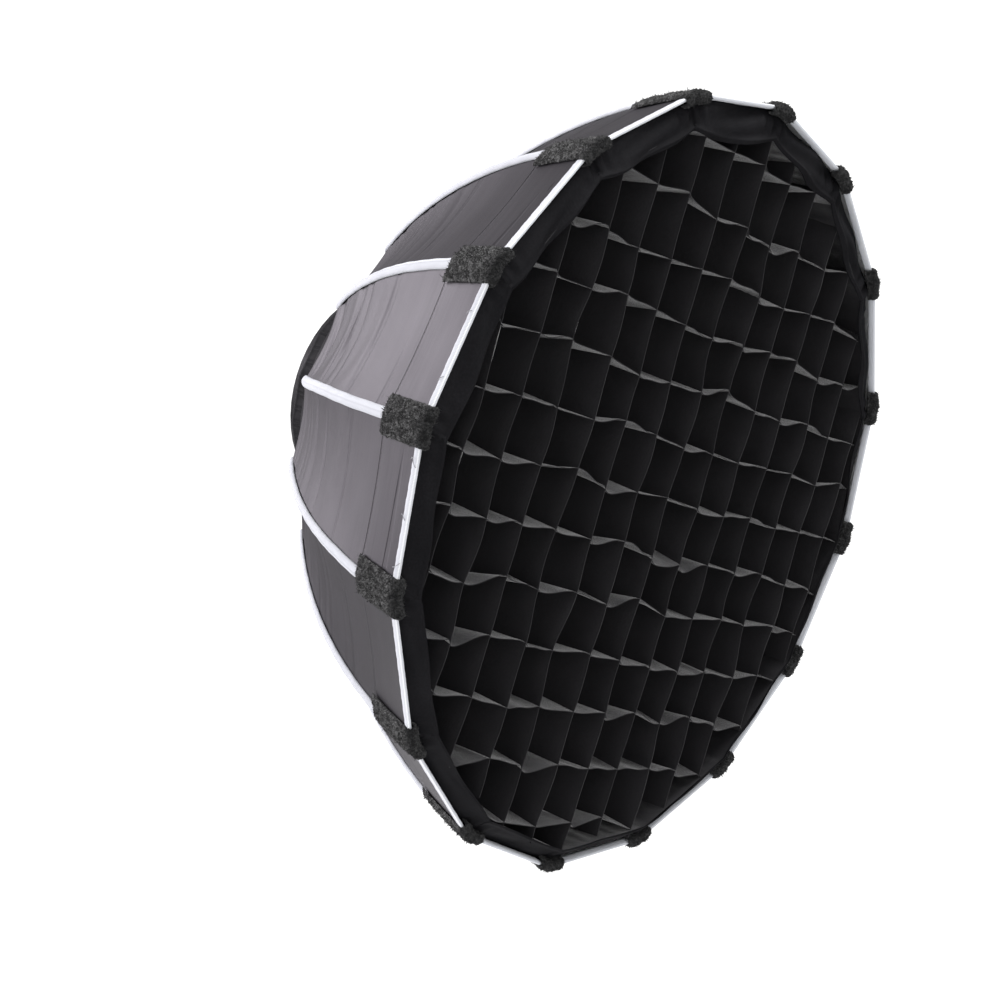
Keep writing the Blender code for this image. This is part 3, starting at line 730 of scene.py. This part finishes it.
def loose_thread(name, k, beside, gap, size, turn):
    """A thread end that stands out of the rim tape in a small loop."""
    s = k + beside / chord(RIM_RADIUS)
    root = Vector(ring_points(s, *rim_section(gap, 0.0006)))
    out, side = radial(k), tangent(k)
    front = Vector((0, -1, 0))
    curve = bpy.data.curves.new(name, "CURVE")
    curve.dimensions, curve.bevel_depth, curve.resolution_u = "3D", 0.00022, 6
    spline = curve.splines.new("BEZIER")
    shape = [(0, 0, 0), (0.6, 0.9, 0.3), (1.4, 0.7, 0.9 * turn), (1.3, -0.2, 1.0 * turn),
             (0.6, -0.1, 0.3 * turn)]
    spline.bezier_points.add(len(shape) - 1)
    for point, (a, b, c) in zip(spline.bezier_points, shape):
        point.co = root + size * (front * a + out * b * 0.6 + side * c)
        point.handle_left_type = point.handle_right_type = "AUTO"
    curve.materials.append(THREAD.material)
    piece = bpy.data.objects.new(name, curve)
    bpy.context.scene.collection.objects.link(piece)
    return place(piece, rib(k))


# Each thread's rod, its place beside it, the gap behind the rim, its size, and the way it turns
THREADS = [(11, 0.019, 0.006, 0.0042, 1), (11, 0.052, 0.006, 0.0032, -1),
           (12, -0.021, 0.006, 0.0040, -1), (12, 0.030, 0.005, 0.0026, 1),
           (13, -0.034, 0.006, 0.0030, 1), (3, 0.018, 0.006, 0.0034, 1), (7, -0.020, 0.005, 0.0030, -1)]

for k in range(SIDES):
    seam_tape(k)
    rim_tape(k)
    corner_patch(k)
for number, thread in enumerate(THREADS, 1):
    loose_thread(f"loose_thread_{number}", *thread)


# ---------------------------------------------------------------- border, grid and diffusers

def gathers(piece):
    """Gives a wedge of cloth a mesh of its own."""
    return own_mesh(piece)


def front_rise(z):
    """How far the border's inner edge stands in front of the rim: the grid's weight draws it out."""
    return BORDER_RISE * (0.5 - 0.4 * z / GRID_RADIUS)


BORDER_WAVE = RNG.uniform(0, 2 * pi, (SIDES, 4))


def border_point(s, t, lift):
    """t is 0 at the rim and 1 at the inner hem. The band is loose, most of all at the top: it bellies
    forwards and wrinkles at the corners."""
    panel = np.floor(s).astype(int) % SIDES
    u = s - np.floor(s)
    a, b, c, d = np.moveaxis(BORDER_WAVE[panel], -1, 0)
    tension = 4 * u * (1 - u)
    corner = 1 - tension
    slack = 1 + 1.3 * np.clip(np.cos(s * SECTOR), 0, 1)
    belly = 0.0012 * np.sin(pi * np.clip(t, 0, 1)) ** 0.8 * (0.5 + 0.5 * tension)
    radial_folds = 0.0016 * corner ** 2 * np.sin(2 * pi * u * 9) * np.sin(pi * np.clip(t * 1.2, 0, 1))
    ripple = 0.0009 * tension * np.sin(2 * pi * u * 1.5 + a + 2.4 * t)
    ripple = ripple + 0.0006 * tension * np.sin(9 * t + b + 7 * u)
    hem = 0.0008 * slack * np.exp(-((t - 0.90) / 0.07) ** 2)
    scallop = -0.0016 * t ** 2 * (tension * (0.8 + 0.6 * np.sin(c)) + 0.35 * np.sin(2 * pi * u + d))
    r = BORDER_OUTER + (BORDER_INNER - BORDER_OUTER) * t + scallop
    rise = (front_rise(BORDER_INNER * np.cos(s * SECTOR)) + BORDER_RECESS) * t
    y = RIM_Y + BORDER_RECESS - rise - (belly + radial_folds + ripple) * slack - hem + lift
    sag = GRID_SAG * np.clip(t, 0, 1) * (1 + 0.7 * tension)
    return ring_points(s, r, y) - np.stack([0 * t, 0 * t, sag], -1)


def grid_border(k):
    half = np.linspace(0.5, 0.0, 22)
    s = np.concatenate([k - half, (k + half[::-1])[1:]])
    piece = cloth_piece(f"grid_border_{k + 1:02d}", lambda s, t: border_point(s, t, 0.0),
                        lambda s, t: border_point(s, t, FABRIC), s, np.linspace(0, 1, 16), (1e-4, 1e-3),
                        [BORDER.material, BORDER.material],
                        lambda s, t: np.stack([s * chord(BORDER_INNER), t * 0.020], -1))
    place(piece, rib(k), ["grid_border"])
    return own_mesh(piece)


def grid_reach(x):
    """Half the length of a grid strip that stands x metres from the axis."""
    low, high = 0.0, GRID_RADIUS
    for _ in range(30):
        z = (low + high) / 2
        angle = np.arctan2(x, z) % SECTOR
        side = GRID_RADIUS * cos(SECTOR / 2) / cos(angle - SECTOR / 2)
        low, high = (z, high) if np.hypot(x, z) < side else (low, z)
    return low


def grid_y(x, z, depth):
    """y of the grid's cloth: just behind its border at the edge, and hanging forwards in the middle, more
    at its front (depth 0) than at its rear (1)."""
    bulge = GRID_BULGE * (1 - (x * x + z * z) / GRID_RADIUS ** 2) * (1 - 0.5 * depth)
    front = RIM_Y + 0.0017 - front_rise(z)
    return front + (GRID_REAR_Y - front) * depth - bulge


LINES = int(GRID_RADIUS / CELL)
NODE = {key: RNG.normal(0, 1, (2 * LINES + 3, 2 * LINES + 3)) for key in ("xf", "zf", "xb", "zb")}
DROOP = RNG.uniform(0, 1, (2 * LINES + 3, 2 * LINES + 3, 4))


def node_shift(i, j, depth):
    """How far a crossing of two strips is off its square place. depth goes from front (0) to rear (1)."""
    i, j = i + LINES + 1, j + LINES + 1
    x = (1 - depth) * 0.0017 * NODE["xf"][i, j] + depth * 0.0018 * NODE["xb"][i, j]
    z = (1 - depth) * 0.0026 * NODE["zf"][i, j] + depth * 0.0015 * NODE["zb"][i, j]
    return x, z


def strip_point(line, along, depth, upright):
    """A point of a grid strip, which line numbers. along is its distance from the middle, in metres.
    An upright strip hangs nearly straight between crossings. A level one is slack, and its front edge
    droops."""
    cell = np.floor(along / CELL).astype(int)
    cell = np.clip(cell, -LINES - 1, LINES)
    t = along / CELL - cell
    lines = np.full(cell.shape, line)
    first = (lines, cell) if upright else (cell, lines)
    second = (lines, cell + 1) if upright else (cell + 1, lines)
    xa, za = node_shift(*first, depth)
    xb, zb = node_shift(*second, depth)
    swing = t * t * (3 - 2 * t)
    dx, dz = xa + (xb - xa) * swing, za + (zb - za) * swing
    pick = DROOP[cell + LINES + 1, lines + LINES + 1]
    front = np.clip(1 - depth, 0, 1) ** 1.6
    if upright:
        bow = np.sin(pi * t)
        dx = dx + (pick[..., 0] - 0.5) * 0.0034 * bow * front
        dx = dx + (pick[..., 1] - 0.5) * 0.0024 * bow * depth
        x, z = line * CELL + dx, along + dz
    else:
        early = np.sin(pi * np.clip(t, 0, 1) ** (0.24 + 0.22 * pick[..., 3])) ** 1.2
        droop = 0.0003 + 0.0062 * pick[..., 0] ** 3
        dz = dz - droop * early * front + (pick[..., 1] - 0.5) * 0.0022 * np.sin(2 * pi * t)
        dz = dz - 0.0020 * np.sin(pi * t) * pick[..., 2] * depth
        x, z = along + dx, line * CELL + dz
    lean = 0.0016 * (pick[..., 2] - 0.5) * np.sin(pi * t) * (1 - depth)
    y = grid_y(x, z, depth) + lean + 0.0006 * (1 - depth)
    return np.stack([x, y, z - GRID_SAG], -1)


def strip_runs(line, upright):
    """A strip of the grid, cut where it passes from wedge to wedge: (wedge, places along it) pairs."""
    reach = grid_reach(abs(line * CELL))
    along = np.linspace(-reach, reach, max(8, int(2 * reach / GRID_STEP)))
    middle = (along[1:] + along[:-1]) / 2
    x, z = (line * CELL, middle) if upright else (middle, line * CELL)
    wedge = np.round(np.arctan2(x, z) / (2 * pi / WEDGES)).astype(int) % WEDGES
    cuts = [0, *(np.flatnonzero(np.diff(wedge)) + 1), len(middle)]
    return [(wedge[a], along[a:b + 1]) for a, b in zip(cuts, cuts[1:])]


def hoop_point(s, depth):
    """The black wall round the grid, which its strips are sewn to."""
    ripple = 0.0004 * np.sin(s * 40) * np.sin(pi * depth)
    points = ring_points(s, GRID_RADIUS + 0.0006 + ripple, 0.0)
    y = grid_y(points[..., 0], points[..., 2], depth)
    return points + np.stack([0 * y, y, 0 * y - GRID_SAG], -1)


def grid_runs():
    """Every run of strip and of wall, by wedge: its points, normals and uvs, each rows x columns."""
    depth = np.linspace(0, 1, 6)
    width = GRID_REAR_Y - GRID_FRONT_Y
    parts = [[] for _ in range(WEDGES)]
    for upright in (True, False):
        for line in range(-LINES, LINES + 1):
            for wedge, along in strip_runs(line, upright):
                A, D = np.meshgrid(along, depth, indexing="ij")
                normals = surface_normals(lambda a, d: strip_point(line, a, d, upright), A, D, 2e-4, 1e-3)
                uv = np.stack([A + 0.9 * line, D * width], -1)
                parts[wedge].append((strip_point(line, A, D, upright), normals, uv))
    for number, runs in enumerate(parts):
        middle, half = number * SIDES / WEDGES, SIDES / WEDGES / 2
        S, D = np.meshgrid(np.linspace(middle - half, middle + half, 9), depth, indexing="ij")
        uv = np.stack([S * chord(GRID_RADIUS), D * width], -1)
        runs.append((hoop_point(S, D), surface_normals(hoop_point, S, D, 1e-4, 1e-3), uv))
    return parts


def grid_wedges():
    """The grid's strips and wall, each a thin closed cloth, in wedges round the axis."""
    for number, runs in enumerate(grid_runs()):
        vertices, normals, faces, uvs, start, length = [], [], [], [], 0, 0.0
        for points, normal, uv in runs:
            half = GRID_CLOTH / 2 * normal
            vertices += [(points + half).reshape(-1, 3), (points - half).reshape(-1, 3)]
            normals += [normal.reshape(-1, 3), -normal.reshape(-1, 3)]
            uvs += [uv.reshape(-1, 2)] * 2
            faces += slab_faces(*points.shape[:2], start, flip=True)
            start += 2 * points.shape[0] * points.shape[1]
            length += uv[-1, 0, 0] - uv[0, 0, 0]
        piece = add_piece(f"grid_wedge_{number + 1:02d}", np.concatenate(vertices), faces,
                          [GRID.material], uvs=np.concatenate(uvs), normals=np.concatenate(normals))
        place(piece, "hub", ["grid"])
        gathers(piece)


def diffuser(name, radius, y):
    """A stretched disc in wedges, each from the axis to one of the places between or at the rods."""
    def point(s, t, lift):
        belly = 0.0012 * np.sin(7 * t + 3 * np.sin(s * SECTOR)) * np.sin(pi * t)
        return ring_points(s, radius * t, y + lift + belly)

    for number in range(WEDGES):
        middle = number * SIDES / WEDGES
        piece = cloth_piece(f"{name}_{number + 1:02d}", lambda s, t: point(s, t, -FABRIC),
                            lambda s, t: point(s, t, 0.0), np.linspace(middle - 0.25, middle + 0.25, 7),
                            np.linspace(0.002, 1, 26), (1e-4, 1e-4),
                            [DIFFUSER.material, DIFFUSER.material],
                            lambda s, t: np.stack([s * SECTOR * radius * t, t * radius], -1))
        place(piece, "hub", [name])
        gathers(piece)


for k in range(SIDES):
    grid_border(k)
grid_wedges()
for name in ("front_diffuser", "inner_diffuser"):
    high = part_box(name)[1]
    diffuser(name, high.z - DIFFUSER_CLEAR, high.y)


# ---------------------------------------------------------------- the frame's own parts

# By the start of a node's name: the first that fits is used
FINISHES = {"rod_knuckle": PLASTIC, "rod": STEEL, "hinge_wire": WIRE, "ring_screw": STEEL,
            "speed_ring": RING, "ring_cover": RING, "bayonet_collar": RING}
for name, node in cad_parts.items():
    finish = next((shader for start, shader in FINISHES.items() if name.startswith(start)), None)
    if finish:
        node.data.materials.clear()
        node.data.materials.append(finish.material)


# ---------------------------------------------------------------- floor, light and camera

FLOOR_DROP, FLOOR_RADIUS = 0.70, 1.0
WORLD_LIGHT, WORLD_MIRRORED = 1.25, 0.17
LIGHTS_AIM = Vector((0, -0.15, 0))


def add_stage():
    """A pale floor, well below the box, which its light head holds in the air."""
    bpy.ops.mesh.primitive_circle_add(vertices=96, radius=FLOOR_RADIUS, fill_type="NGON",
                                      location=(0, 0, cad_box[0][2] - FLOOR_DROP))
    floor = bpy.context.object
    floor.name = "floor"
    m = Shader("pale_floor", None, **{"Specular IOR Level": 0.1})
    drift = m.noise(m.object_space(), 0.8, detail=2.0)
    m.finish(Base_Color=m.mix(drift, (0.93, 0.93, 0.93), (0.90, 0.90, 0.90)), Roughness=0.9)
    floor.data.materials.append(m.material)


def add_light(name, location, size, power, colour=(1, 1, 1)):
    light = bpy.data.lights.new(name, "AREA")
    light.color = colour
    light.shape, light.size, light.energy = "DISK", size, power
    lamp = bpy.data.objects.new(name, light)
    lamp.location = location
    lamp.rotation_mode = "QUATERNION"
    lamp.rotation_quaternion = (LIGHTS_AIM - Vector(location)).to_track_quat("-Z", "Y")
    lamp.visible_camera = False
    bpy.context.scene.collection.objects.link(lamp)


def add_world():
    """White all round, and dimmer where a glossy surface mirrors it, as in a studio with dark walls."""
    world = bpy.data.worlds.new("white_studio")
    world.use_nodes = True
    tree = world.node_tree
    background = tree.nodes["Background"]
    background.inputs["Color"].default_value = (1, 1, 1, 1)
    ray = tree.nodes.new("ShaderNodeLightPath")
    strength = tree.nodes.new("ShaderNodeMapRange")
    strength.inputs["To Min"].default_value = WORLD_LIGHT
    strength.inputs["To Max"].default_value = WORLD_MIRRORED
    tree.links.new(ray.outputs["Is Glossy Ray"], strength.inputs["Value"])
    tree.links.new(strength.outputs["Result"], background.inputs["Strength"])
    bpy.context.scene.world = world


def add_camera():
    """The photograph's view, from the camera that fits the sixteen corners of the rim."""
    camera = bpy.data.objects.new("camera", bpy.data.cameras.new("camera"))
    camera.data.sensor_width, camera.data.lens = 36.0, 79.2
    right, up = Vector((0.5795, -0.7608, 0.2921)), Vector((-0.1341, 0.2645, 0.9550))
    forward = Vector((0.8039, 0.5926, -0.0512))
    camera.rotation_mode = "QUATERNION"
    camera.rotation_quaternion = Matrix((right, up, -forward)).transposed().to_quaternion()
    camera.location = (-1.2878, -1.1033, 0.0386)
    bpy.context.scene.collection.objects.link(camera)
    bpy.context.scene.camera = camera


add_stage()
add_world()
add_light("top", (0.1, -0.75, 2.4), 1.4, 52)
add_light("rear", (-0.62, 2.25, 0.22), 2.0, 64, (0.98, 0.92, 1.0))
add_camera()
bpy.context.scene.view_settings.view_transform = "Standard"
